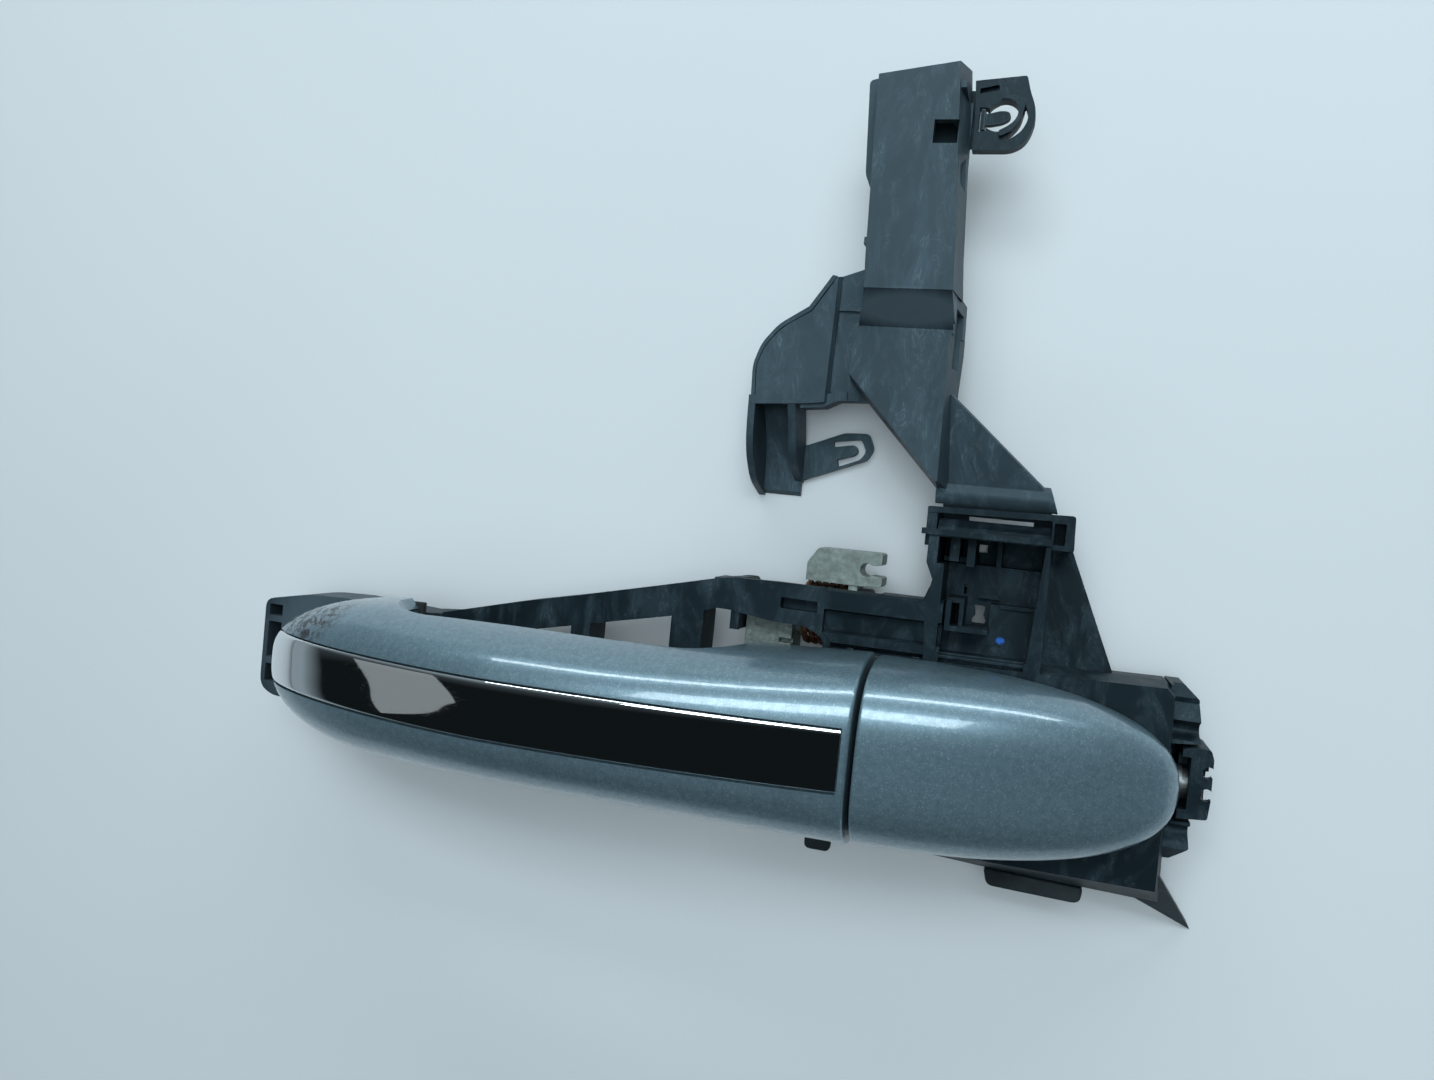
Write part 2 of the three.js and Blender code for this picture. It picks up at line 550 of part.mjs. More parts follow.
// Base under the end cap: sloping skirts round a flat seat.
const BASE = {
  seat: [[-13, 20.4], [37, 20.9], [65, 21.6], [66.8, 19.6], [67.2, -24.4], [30, -24.6], [-13, -22.6]],
  foot: [[-13, 21.4], [37, 21.9], [65.4, 22.4], [67.6, 20.4], [69.2, -29.4], [30, -28.6], [-13, -26.6]],
};
function baseBlock() {
  const inset = ([x, y]) => [x + (x < 0 ? WALL : -WALL * (x > 60)),
    y - WALL * Math.sign(y) * (Math.abs(y) > 19 ? 1 : 0.4)];
  const skirt = drafted(BASE.foot, -9, BASE.seat, SEAT);
  const lower = drafted(BASE.foot, -16, BASE.foot, -8.9);
  const hollow = join(
    drafted(BASE.foot.map(inset), -9, BASE.seat.map(inset), -WALL),
    drafted(BASE.foot.map(inset), -17, BASE.foot.map(inset), -8.9));
  const { x0, x1, halfWidth: w } = STEM;
  const stemWay = box(x0 - 1, x1 + 1, -w - 1, w + 1, -30, 1);
  const armWay = box(PULL.left - 2.5, PULL.right + 3.5, PULL.back - 2.5, 16, -30, 1);
  const collar = box(x0 - 3.2, x1 + 3.2, -w - 3.2, w + 3.2, -15, -1);
  const { y, z, shank } = SCREW;
  const { left, right, halfWidth, halfHeight, travel } = RETAINER;
  const guide = box(left + 1.6, 62, y - halfWidth - 2.6, y + halfWidth + 2.6, z - halfHeight - 2.6, -1);
  const slideWay = box(
    left - 9, right + travel + 0.5, y - halfWidth - GAP, y + halfWidth + GAP, z - halfHeight - 0.6,
      z + halfHeight + GAP);
  const tongueWay = box(x1 - 1, left + 3, y - 3.4, y + 3.4, z - 2.9, z + 2.9);
  const endWall = box(64.4, 67.4, y - 9, y + 9, -16, -1);
  const ribs = [-8, 8].map((x) => box(x, x + 1.6, -24, 21, -14, -1));
  const shell = join(cut(join(skirt, lower), hollow), collar, guide, endWall, ...ribs);
  return cut(shell, stemWay, armWay, tongueWay, slideWay, rodX(60, 80, y, z, shank + 0.4));
}

// Box at the carrier's edge that holds the latch cable's end, with stepped floors.
const BOX = { left: 9, right: 37.4, bottom: 19.6, top: 52, shelfZ: -8.5, middleZ: -15, deepZ: -23 };
function cableBox() {
  const { left, right, bottom, top, shelfZ, middleZ, deepZ } = BOX;
  const outer = plateZ([
    [left + 1.6, bottom], [right, bottom], [right - 0.5, top], [left, top], [left, 44],
    [left + 1.8, 40], [left + 0.6, 34.4],
  ], -DEPTH, SEAT);
  // The right wall is thin at the far end and widens towards the base.
  const rim = (y) => mix(34, 35.9, (y - 22) / 29);
  const inner = (x0, y0, y1, floor) => plateZ([[x0, y0], [rim(y0), y0], [rim(y1), y1], [x0, y1]], floor, 1);
  const under = (x0, x1, y0, y1, floor) => box(x0, x1, y0, y1, -DEPTH - 1, floor - WALL);
  const pockets = [
    inner(13.2, 22.8, 31, shelfZ),
    inner(24.4, 30, 35.2, shelfZ),
    box(13.2, 24.5, 28.4, 44.2, middleZ, 1),
    inner(24.4, 35.1, 44.2, middleZ),
    inner(11.4, 44, 50.4, deepZ),
  ];
  const undersides = [
    under(13.2, 35.2, 22, 26, shelfZ),
    under(26.8, 35.2, 28.5, 32.8, shelfZ),
    under(15.6, 25.4, 28.8, 36.6, middleZ),
    under(13.2, 35.2, 37.6, 41.4, middleZ),
  ];
  const stepLips = [box(21.2, 26.2, 36, 37, middleZ, middleZ + 1.4),
    box(26.8, 35.2, 34.4, 35.3, shelfZ, shelfZ + 0.9)];
  const ribs = [
    box(13.6, 15.9, 44.6, 50.6, deepZ - 0.2, -8), box(18, 19.9, 43.8, 50.6, deepZ - 0.2, -4),
    box(24.6, 25.8, 44, 50.6, deepZ - 0.2, middleZ + 1), box(12, 20, 44.4, 45.6, deepZ - 0.2, -13),
  ];
  const keyhole = plateZ([
    [20.2, 34.2, 0.6], [23.1, 34.2, 0.8], [22.8, 31.8, 0.3], [23.5, 30.4, 0.5],
    [22.9, 28.8, 0.5], [20.2, 28.8, 0.5], [19.9, 30.4, 0.4], [20.8, 31.6, 0.3],
  ], -DEPTH - 1, -7);
  const floorSlots = [box(19.4, 21.8, 47, 49, -DEPTH - 1, -20), box(17.5, 18.2, 36.6, 39, -DEPTH, -13)];
  // Abutment that holds the end of the cable's sleeve: an upright wall and a shelf.
  const abutment = join(
    box(14.6, 15.8, 28.4, 35.6, -15.1, -0.8), box(14.6, 24.7, 28.3, 29.5, -9.5, -0.8),
    box(17.6, 18.6, 29.5, 35.4, -15.1, -3), box(14.6, 18.6, 34.9, 36, -15.1, -3));
  const lipAt = (y) => plateX(
    [[y - 0.5, -4.4], [y + 0.6, -4.4], [y + 0.4, -0.2, 0.2], [y - 0.4, -0.2, 0.2]], 14, 33.6);
  const lips = [22, 20].map(lipAt);
  const chamfer = plateX([[18, -1.6], [21.4, -1.6], [23.4, -3.6], [23.4, 1], [18, 1]], 14, 33.6);
  const flap = plateZ([[8.6, 33.6], [11.4, 34.6], [11.8, 39, 0.8], [10.4, 38.6, 0.8]], -10, -1);
  const body = join(cut(outer, ...pockets, ...undersides, chamfer), ...stepLips, ...ribs);
  return join(cut(body, keyhole, ...floorSlots), abutment, ...lips, flap);
}

// Frame at the box's far wall, which the latch arm's lip hooks into, and the web beside the box.
function armSocket() {
  const ledge = join(box(7.2, 36.8, 50.7, 52.1, -3, 0.8), box(7.2, 9, 50.7, 52.1, -6, 0.8));
  const lowerBar = plateX([[52, -2], [54.8, -5], [54.8, -9], [52, -9]], 10.6, 36.6);
  const leftLeg = box(7.9, 10.3, 48, 57.2, -12, -2);
  const topBar = plateZ([[7.9, 56], [7.9, 57.4, 0.4], [41.4, 58.1, 0.4], [41.4, 56.6], [10.3, 56]], -4,
    -1.6);
  const block = cut(
    plateZ([[36.7, 49.8], [42, 49.8, 0.5], [41.7, 58.1, 0.8], [36.7, 57.8]], -12, -1.6),
    box(37.2, 39.8, 51, 56, -10, 0));
  const foot = box(9, 38.6, 51.9, 53.6, -12, -8.8);
  // Plates behind the two ends of the lip's slot.
  const backs = [box(9, 12.2, 51.9, 57.2, -16.6, -15.2), box(35.2, 38.6, 51.9, 57.6, -16.6, -15.2)];
  const web = plateZ([[36.6, 50.4], [41.8, 50.4], [53.8, 22.4], [54.2, 20.6], [36.6, 20.6]], -14, -11.6);
  return join(ledge, lowerBar, leftLeg, topBar, block, foot, ...backs, web);
}

// Lobes beside the retaining screw's collar and the fin at the carrier's corner.
function screwGuard() {
  const upper = plateZ([[65, 22.2], [69.4, 22.2], [72.8, 19.1], [73.8, 9.4], [65, 8.6]], -19.2, -4);
  const lower = plateZ([[65, -9], [73.4, -8.6], [73.7, -14.6], [70.2, -18.3], [65, -18.6]], -19.2, -4);
  const floor = box(65, 73.6, -9, 9.4, -19.2, -17.3);
  // Each lobe's top is a wave: a scoop beside the collar, a ridge and a slope away from it.
  const upperWave = plateX([
    [8, 1], [8, -4], [9.8, -4.4], [10.8, -7.4, 1.5], [12.9, -7.8, 1.5], [14.4, -4],
    [18.2, -6.8], [19.4, -6.2], [23, -9.6], [23, 1],
  ], 66.9, 80);
  const lowerWave = plateX([
    [-8, 1], [-8, -4], [-9.4, -4.2], [-10.4, -7.8, 1], [-11.8, -7.8, 1],
    [-14.9, -4.2], [-19, -8.6], [-19, 1],
  ], 67.4, 80);
  const lobes = cut(join(upper, lower), upperWave, lowerWave);
  return cut(join(lobes, floor), box(60, 66.2, -30, 30, -30, 1));
}
function fin() {
  const plate = panel([[67.2, -20.2, -1.4], [79.2, -39.8, -DEPTH], [63.6, -29, -8.4]], 1.7);
  return plate.intersect(box(60, 90, -50, 0, -DEPTH, 0));
}

function carrierFrame() {
  const { y, z } = SCREW;
  const parts = [frontBlock(), rail(), baseBlock(), cableCover(), cableBox(), armSocket(), screwGuard(),
    fin()];
  const screwWay = rodX(67.8, 90, y, z, 5.2);
  return cut(join(cut(join(...parts), ...leverSpace()), leverBay()), screwWay);
}

// Collar with two notches that keeps the retaining screw from falling out.
function screwCollar() {
  const { y, z } = SCREW;
  const body = plateZ([
    [70.1, 8], [73.2, 8.8], [76, 8.6, 0.6], [76.7, 6.5],
    [76.8, 2], [76.9, -3], [76.6, -7.2, 0.6], [70.1, -7.8],
  ], -17, -3.2);
  const notch = (y0) => join(box(76.4, 80, y0 - 1, y0 + 1, -18, 0), rodZ(-7, 0, 75.9, y0, 1.4, 16));
  return cut(body, rodX(69, 90, y, z, 4.8), notch(3.4), notch(-1.6), box(69, 72, -5.6, 6.4, -9, 0));
}

// Rubber pad at the carrier's lower edge.
function skinBuffer() {
  return plateZ([[29.4, -29.2], [52.6, -29.8], [52.4, -33.8, 2.2], [30.4, -33.4, 1.6]], -22, -9.8);
}

// Leaf spring that keeps the hook's toe from rattling.
function hingeSpring() {
  return plateY([
    [-168.8, -10.6], [-166, -9.6, 2], [-158, -10.8, 2], [-147.6, -10.8], [-147.6, -11.6], [-158, -11.6, 2],
    [-166, -10.5, 2], [-168.8, -11.5],
  ], -6.8, 6.8);
}

// ---------------------------------------------------------------- latch arm, cable guide and clip
const HEAD = {
  front: [[-11.3, 152.9], [-11, 138], [-10.6, 126], [-10.2, 112.5], [-9.8, 105], [10.1, 105.2],
    [9.6, 114], [9, 123.9], [8, 135], [7.2, 147], [6.6, 155.4]],
  foot: [[-13.4, 155], [-13, 138], [-12.5, 126], [-12, 112.5], [-11.6, 105], [11.4, 105.2],
    [10.6, 114], [10, 123.9], [9.4, 135], [9.2, 147], [8, 158.4]],
};
const NECK = {
  front: [[-9.8, 105.2], [-13.2, 97.8], [-13.4, 87], [9.3, 63.2], [9.9, 63.2], [9.5, 82.6], [9.2, 93.8],
    [10.1, 105.4]],
  foot: [[-11.2, 105.2], [-14.6, 98], [-14.8, 86.4], [9, 61.6], [11.8, 61.6], [11.6, 83], [12, 94],
    [11.8, 105.4]],
};
const shrink = (t) => ([x, y], i, all) => {
  const cx = all.reduce((s, p) => s + p[0], 0) / all.length;
  const cy = all.reduce((s, p) => s + p[1], 0) / all.length;
  const d = Math.hypot(x - cx, y - cy);
  return [x - ((x - cx) / d) * t * 1.25, y - ((y - cy) / d) * t];
};
function latchArm() {
  const { front, foot } = HEAD;
  const headZ0 = 3;
  const headShell = cut(
    drafted(foot, headZ0, front, HEAD_Z),
    drafted(foot.map(shrink(1.9)), headZ0 - 1, front.map(shrink(2)), HEAD_Z - WALL));
  const neckZ0 = -7.4;
  const neckShell = cut(
    drafted(NECK.foot, neckZ0, NECK.front, NECK_Z),
    drafted(NECK.foot.map(shrink(1.9)), neckZ0 - 1, NECK.front.map(shrink(2)), NECK_Z - WALL));
  // Sloping step from the head down to the neck.
  const step = plateX([
    [106, HEAD_Z], [105.2, HEAD_Z], [98.4, NECK_Z], [97, NECK_Z],
    [97, NECK_Z - WALL], [99.2, NECK_Z - WALL], [106, HEAD_Z - WALL - 2],
  ], -20, 20);
  const stepWalls = drafted(
    [[-14.4, 97.6], [11.9, 97.6], [11.6, 106], [-11.8, 106]], neckZ0,
    [[-9.9, 97.6], [9.6, 97.6], [10, 106], [-9.8, 106]], HEAD_Z);
  const stepSpace = drafted(
    [[-12.2, 97], [9.9, 97], [9.7, 107], [-9.8, 107]], neckZ0 - 1,
    [[-7.9, 97], [7.7, 97], [8.1, 107], [-7.9, 107]], HEAD_Z + 0.1);
  const below = plateX([[90, -20], [90, NECK_Z], [98.4, NECK_Z], [105.2, HEAD_Z], [107, HEAD_Z],
    [107, -20]], -20, 20);
  const stepPart = join(stepWalls.subtract(stepSpace), step.intersect(stepWalls)).intersect(below);
  const neckCut = box(-20, 20, 97.7, 110, -20, 20);
  const leftFlange = plateZ([[-12.4, 130], [-14.2, 134, 1], [-15.4, 156, 1], [-12.6, 156.6]], 3, 4.6);
  const squareHole = box(2.2, 7.6, 137.4, 142.6, 5, 20);
  const backPlate = box(-1, 9.2, 134, 150.6, headZ0, 4.4);
  const sideNotch = plateZ([[14, 137.6], [9.2, 137.6], [8, 135, 1], [8.6, 129.6], [14, 128]], 6, 14);
  const sideSlot = box(10, 16, 90, 103, -4, 6);
  const ribs = [150, 132, 115].map((y) => box(-11, 8.4, y, y + 1.6, 5, HEAD_Z - 1));
  const neckRib = plateZ([[-13.4, 89], [9.6, 74], [9.6, 75.8], [-13.4, 90.8]], -6, NECK_Z - 1);
  // Sloping gusset on the right, and the lip that rolls over into the carrier's socket.
  const gusset = panel([[10.6, 84.6, -3.2], [36, 62.6, -9.2], [10.6, 62.6, -9.2]], -2.2);
  const lip = plateX([
    [64.4, -9], [63.2, -5.6], [60.8, -4.6, 2], [58.6, -6, 1], [57, -8.6, 2], [55.2, -12.6], [54.2, -13.4],
    [55.2, -14.8], [57.2, -13.6, 1.5], [60.2, -7.6, 1.5], [61.4, -7.2], [62.6, -11.4],
  ], 9, 38);
  const lipEdge = plateZ([
    [9, 66], [9, 58.3], [10.9, 58.3], [10.9, 50], [36.3, 50], [36.3, 58.3], [37.6, 58.3], [35.4, 64.6],
  ], -30, 10);
  const lipRelief = box(17, 32.4, 50, 55.8, -20, 0);
  const lipPart = cut(lip.intersect(lipEdge), lipRelief);
  return cut(
    join(headShell, backPlate, cut(neckShell, neckCut), stepPart, leftFlange, ...ribs, neckRib, gusset,
      lipPart),
    squareHole, sideNotch, sideSlot);
}

// Curved chute that leads the cable round to its clip.
function cableGuide() {
  const top = -6;
  const face = plateZ([
    [-20.8, 84.4], [-21.6, 80.6], [-27, 80], [-38.6, 79.2], [-39.2, 89, 2], [-37.4, 94, 2],
    [-33.8, 98.4, 2],
    [-30.2, 100.8, 1], [-26.2, 103.2], [-20.5, 111.9], [-20.4, 104],
  ], top - WALL, top);
  const inner = plateZ([
    [-20.9, 84.4], [-20.9, 112], [-13.8, 114.6], [-10.4, 113.4], [-10.4, 83], [-18, 82.4],
  ], top - 4.4, top - 2);
  const recess = plateZ([[-20, 95.6], [-19.8, 104], [-9, 104], [-9, 95.6]], top - 3, top - 1);
  const riser = drafted(
    [[-22, 80.6], [-19, 80.8], [-18.4, 113], [-21.4, 111]], top - 4.4,
    [[-22, 80.6], [-20.8, 80.8], [-20.4, 112], [-21.4, 111]], top);
  const rim = plateZ([
    [-38.8, 79.2], [-39.4, 89, 2], [-37.6, 94, 2], [-34, 98.6, 2], [-26.4, 103.4], [-20.7, 112.2],
    [-21.8, 112.4], [-27, 104.4], [-34.4, 99.6, 2], [-38.4, 94.6, 2], [-40.2, 89.2, 2], [-39.8, 79.2],
  ], -16, top);
  const lowerRim = plateZ([
    [-27, 79], [-21, 79.6], [-17.6, 81.4], [-10.6, 81.8], [-10.6, 83.6], [-18, 83.8],
    [-21.6, 82.4], [-27, 80.8],
  ], -13, top - 1);
  const chute = plateX([
    [79.9, top], [79.9, -16, 3], [73, -20.6, 4], [66, -23.4, 3], [58, -23.9], [57, -DEPTH], [66, -DEPTH, 3],
    [74, -23.2, 4], [81.6, -18.4, 3], [81.6, top - 1],
  ], -39.6, -28.6);
  const leftWall = plateX([
    [80.4, top], [68, -7, 6], [60, -15, 4], [56.4, -DEPTH], [66, -DEPTH], [81.4, -19], [81.4, top],
  ], -40.4, -38.6);
  const rightWall = plateX([
    [80.4, top], [74, -10, 4], [66, -13, 4], [60.8, -DEPTH + 2], [60.8, -DEPTH], [66, -DEPTH],
    [81.4, -19], [81.4, top],
  ], -30.2, -28.2);
  const tongue = plateZ([
    [-29.4, 70.6], [-27.6, 70.8], [-18, 74.7, 1], [-11.6, 75, 1], [-9.9, 71, 1], [-11.4, 68, 1],
    [-29.4, 60.8],
  ], -DEPTH, -23.8);
  const slot = cut(
    plateZ([[-21, 72.2, 0.6], [-13.4, 73.4, 1], [-11.8, 70.2, 1], [-13.2, 68, 1], [-19, 65.7, 0.6]], -30,
      -20),
    plateZ([[-22, 70.6], [-14.8, 71.8, 1], [-13.9, 70, 1], [-15, 68.9, 1], [-20.4, 67.2]], -30, -20));
  const webs = plateX([[84, top - 3], [84, -12], [110, -12], [110, top - 3]], -13, -11.4);
  const armClearance = box(-15.4, 0, 79, 120, -7.7, 10);
  const parts = [face, inner, riser, rim, lowerRim, chute, leftWall, rightWall, cut(tongue, slot), webs];
  return cut(join(...parts), recess, armClearance);
}

// Open loop beside the arm's head that holds the cable, with its hook.
const CLIP = { z0: 1.9, z1: 5 };
function latchClip() {
  const plate = plateZ([
    [9.2, 155.4], [20.6, 156.4, 0.6], [21.7, 152.7, 1], [23.2, 149.1, 2], [23.3, 145.3, 2],
    [21.6, 141.2, 2],
    [18.4, 139.6, 1.5], [9.9, 139.6], [9.9, 147],
  ], CLIP.z0, CLIP.z1);
  const loop = plateZ([
    [12.6, 149.2, 1.5], [16, 151.4, 2.4], [19.6, 149.8, 2.4], [19.4, 146, 2.5], [15.4, 143.4, 2],
    [12.4, 144.6, 1],
  ], 0, 8);
  const crescent = plateZ([
    [20.9, 149.8, 0.5], [21.9, 147, 1.5], [20.6, 143.8, 1.5], [17, 141.4, 0.5], [17.2, 142.5],
    [19.9, 145.2, 2], [20.6, 148],
  ], 0, 8);
  const slit = plateZ([[10.4, 152.4], [14.8, 153.2, 0.4], [14.6, 154.4, 0.4], [10.4, 153.6]], 3.6, 8);
  const rim = cut(
    plateZ([[15.6, 151.8, 1], [20.3, 151.6, 2.5], [21.4, 148, 2.5], [19.9, 144.4, 2], [15.6, 142.2, 1]],
      CLIP.z1 - 0.1, 6.2),
    plateZ([[10, 149.8], [16, 151.2, 2], [19.3, 149.9, 2], [19.3, 146.4, 2], [15.6, 143.6, 1],
      [10, 142.8]], 0, 9));
  const barbWay = box(10.8, 12.5, 143.9, 149.3, 0, 8);
  const barWay = box(12.3, 16, 144.9, 149.1, 2.4, 8);
  const foot = box(3, 10.6, 141, 154, 1.1, 2.6);
  return cut(join(plate, rim, foot), loop, crescent, slit, barbWay, barWay);
}
function clipHook() {
  const bar = plateZ([
    [11.6, 148], [13.8, 148.4], [15.4, 148.8, 0.8], [17.6, 148.6, 1], [17.9, 146.8, 1], [16, 145.8, 0.8],
    [13.6, 145.4], [11.6, 145.4],
  ], 2.7, 4.4);
  return join(bar, box(11.1, 12.2, 144.2, 149, 1.6, 5));
}

// ---------------------------------------------------------------- assembly
const looks = {
  paint: { color: 0x6f8791, roughness: 0.3, metalness: 0.6 },
  chrome: { color: 0xdfe3e6, roughness: 0.06, metalness: 1 },
  black: { color: 0x24292b, roughness: 0.62, metalness: 0 },
  rubber: { color: 0x131516, roughness: 0.85, metalness: 0 },
  zinc: { color: 0x8b9089, roughness: 0.5, metalness: 0.75 },
  steel: { color: 0xa9adaf, roughness: 0.3, metalness: 1 },
  spring: { color: 0x5b2f1c, roughness: 0.75, metalness: 0.5 },
};
const handle = new THREE.Group();

function add(name, solid, look) {
  const { vertProperties, triVerts } = solid.getMesh();
  const g = new THREE.BufferGeometry();
  g.setAttribute('position', new THREE.BufferAttribute(vertProperties, 3));
  g.setIndex(new THREE.BufferAttribute(triVerts, 1));
  g.computeVertexNormals();
  const mesh = new THREE.Mesh(g, new THREE.MeshStandardMaterial(looks[look]));
  mesh.name = name;
  handle.add(mesh);
}

add('carrier_frame', carrierFrame(), 'black');
add('latch_arm', latchArm(), 'black');
add('cable_guide', cableGuide(), 'black');
add('latch_clip', latchClip(), 'black');
add('clip_hook', clipHook(), 'black');
add('screw_collar', screwCollar(), 'black');
add('skin_buffer', skinBuffer(), 'rubber');
add('hinge_spring', hingeSpring(), 'steel');
add('lever_pin', leverPin(), 'steel');
add('pin_clip', pinClip(), 'steel');
add('lever_spring', leverSpring(), 'spring');
add('rear_gasket', rearGasket(), 'rubber');
add('end_cap_shell', endCapShell(), 'paint');
add('end_cap_base', endCapBase(), 'black');
add('retainer_slide', retainerSlide(), 'zinc');
add('retaining_screw', retainingScrew(), 'steel');
add('release_lever', releaseLever(), 'zinc');
add('grip_outer_shell', gripOuterShell(), 'paint');
add('grip_inner_shell', gripInnerShell(), 'black');
add('chrome_insert', chromeInsert(), 'chrome');
add('grip_pivot_hook', gripPivotHook(), 'black');
add('grip_pull_arm', gripPullArm(), 'zinc');
add('front_gasket', frontGasket(), 'rubber');
SCREWS.forEach((at, i) => add(`grip_screw_${i + 1}`, gripScrew(at), 'steel'));

export default handle;
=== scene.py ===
"""Looks for the car door handle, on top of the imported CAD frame. Metres, +Z out of the door."""

import json
import math

import bmesh
import bpy
from mathutils import Matrix, Vector


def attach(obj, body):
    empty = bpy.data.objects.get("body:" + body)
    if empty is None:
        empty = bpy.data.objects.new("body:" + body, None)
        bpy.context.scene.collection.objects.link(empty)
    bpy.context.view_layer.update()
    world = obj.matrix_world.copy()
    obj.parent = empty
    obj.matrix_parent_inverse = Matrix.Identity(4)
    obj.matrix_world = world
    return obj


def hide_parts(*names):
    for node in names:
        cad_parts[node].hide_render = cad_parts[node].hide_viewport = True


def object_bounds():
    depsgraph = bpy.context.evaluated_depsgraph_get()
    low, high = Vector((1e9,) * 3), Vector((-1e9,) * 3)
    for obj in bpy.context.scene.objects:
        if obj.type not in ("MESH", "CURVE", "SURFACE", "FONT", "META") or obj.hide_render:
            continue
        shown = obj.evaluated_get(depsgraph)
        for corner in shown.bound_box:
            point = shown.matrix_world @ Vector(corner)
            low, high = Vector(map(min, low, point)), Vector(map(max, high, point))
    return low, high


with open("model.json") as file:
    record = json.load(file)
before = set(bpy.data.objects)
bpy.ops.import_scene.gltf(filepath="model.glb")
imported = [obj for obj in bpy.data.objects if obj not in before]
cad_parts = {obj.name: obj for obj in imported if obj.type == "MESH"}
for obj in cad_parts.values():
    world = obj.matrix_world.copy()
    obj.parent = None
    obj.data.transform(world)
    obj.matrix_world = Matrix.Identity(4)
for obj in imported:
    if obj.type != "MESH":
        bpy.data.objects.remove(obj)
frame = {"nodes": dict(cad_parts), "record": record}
cad_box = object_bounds()
NODES = frame["nodes"]
MM = 0.001
scene = bpy.context.scene
scene.view_settings.view_transform = "Standard"


def mix(a, b, t):
    return a + (b - a) * t


# ---------------------------------------------------------------- camera, floor and light
CAMERA = {"place": (0.034, 0.0542, 0.26), "right": (0.9529, 0.0975, -0.2873),
          "back": (0.2848, 0.0385, 0.9578), "lens": 27.04, "sensor": 36.0, "nearest": 0.01}
FLOOR_Z = cad_box[0][2]
FLOOR_SIZE = 6.0
FLOOR_GAP = 0.0002


def make_camera():
    """A camera above the handle and a little to its right, looking along -back."""
    data = bpy.data.cameras.new("camera")
    data.lens = CAMERA["lens"]
    data.sensor_width = CAMERA["sensor"]
    data.clip_start = CAMERA["nearest"]
    camera = bpy.data.objects.new("camera", data)
    back = Vector(CAMERA["back"])
    up = back.cross(Vector(CAMERA["right"])).normalized()
    right = up.cross(back).normalized()
    turn = Matrix((right, up, back.normalized())).transposed().to_4x4()
    camera.matrix_world = Matrix.Translation(CAMERA["place"]) @ turn
    scene.collection.objects.link(camera)
    scene.camera = camera


def make_floor():
    bpy.ops.mesh.primitive_plane_add(size=FLOOR_SIZE, location=(0.0, 0.0, FLOOR_Z - FLOOR_GAP))
    floor = bpy.context.object
    floor.name = "floor"
    mat = new_material("floor_board")
    t = Tree(mat)
    cloud = t.noise(t.coords(), 3.0, detail=2.0)
    t.values["Base Color"] = t.ramp(cloud, [(0.35, (0.520, 0.545, 0.560)), (0.65, (0.540, 0.565, 0.580))])
    t.values["Roughness"] = 0.8
    t.apply()
    floor.data.materials.append(mat)


WHITE = (0.86, 0.96, 1.0)
COOL = (0.82, 0.94, 1.0)
WORLD_DARK = (0.014, 0.020, 0.023)
WORLD_BRIGHT = (0.60, 0.76, 0.85)
WORLD_STRENGTH = 0.42
WINDOW_ROLL = math.radians(15)


def area_light(name, place, target, size, power, color, mirrored=True):
    """A soft light at a place, aimed at a target. Unless mirrored, it doesn't show in reflections."""
    data = bpy.data.lights.new(name, "AREA")
    data.shape = "RECTANGLE"
    data.size, data.size_y = size
    data.energy = power
    data.color = color
    light = bpy.data.objects.new(name, data)
    direction = Vector(target) - Vector(place)
    light.matrix_world = Matrix.Translation(place) @ direction.to_track_quat("-Z", "Y").to_matrix().to_4x4()
    light.visible_glossy = mirrored
    scene.collection.objects.link(light)
    return light


def make_world():
    """A studio that is bright on the key light's side and low down past the nose, and dark overhead."""
    world = bpy.data.worlds.new("studio")
    scene.world = world
    world.use_nodes = True
    t = Tree(world, "Background")
    direction = t.new("ShaderNodeTexCoord").outputs["Generated"]
    parts = t.new("ShaderNodeSeparateXYZ")
    t.put(parts.inputs["Vector"], direction)
    towards_key = t.new("ShaderNodeVectorMath", operation="DOT_PRODUCT")
    t.put(towards_key.inputs[0], direction)
    towards_key.inputs[1].default_value = (0.12, 0.80, -0.30)
    key_side = t.ramp(t.math("MULTIPLY_ADD", towards_key.outputs["Value"], 0.5), [(0.36, 0.0), (0.78, 1.0)])
    low = t.ramp(parts.outputs["Z"], [(0.10, 1.0), (0.26, 0.0)])
    nose_side = t.ramp(t.math("MULTIPLY", parts.outputs["X"], -1.0), [(0.70, 0.42), (0.92, 0.95)])
    light = t.math("MAXIMUM", key_side, t.math("MULTIPLY", low, nose_side))
    t.values["Color"] = t.mix(light, WORLD_DARK, WORLD_BRIGHT)
    t.values["Strength"] = WORLD_STRENGTH
    t.apply()


def make_light():
    """A wide ceiling, two soft lights above, a long low one for the shoulders and a window for the chrome.

    The ceiling and the top light don't show in reflections, so the chrome stays dark overhead."""
    make_world()
    area_light("ceiling", (0.0, 0.0, 3.5), (0.0, 0.001, 0.0), (4.0, 4.0), 48.0, COOL, mirrored=False)
    area_light("top", (0.12, 0.14, 1.20), (0.0, 0.03, 0.0), (0.50, 0.50), 5.5, COOL, mirrored=False)
    area_light("key", (0.08, 0.60, 1.00), (0.0, 0.03, 0.0), (0.80, 0.30), 7.2, COOL)
    area_light("rim", (0.02, 1.10, 0.44), (-0.03, 0.0, 0.03), (1.50, 0.12), 7.0, WHITE)
    window = area_light("window", (-1.0, -0.08, 0.72), (-0.12, 0.0, 0.03), (0.42, 0.40), 0.14, WHITE)
    window.matrix_world = window.matrix_world @ Matrix.Rotation(WINDOW_ROLL, 4, "Z")


# ---------------------------------------------------------------- material helpers
def new_material(name):
    mat = bpy.data.materials.new(name)
    mat.use_nodes = True
    return mat


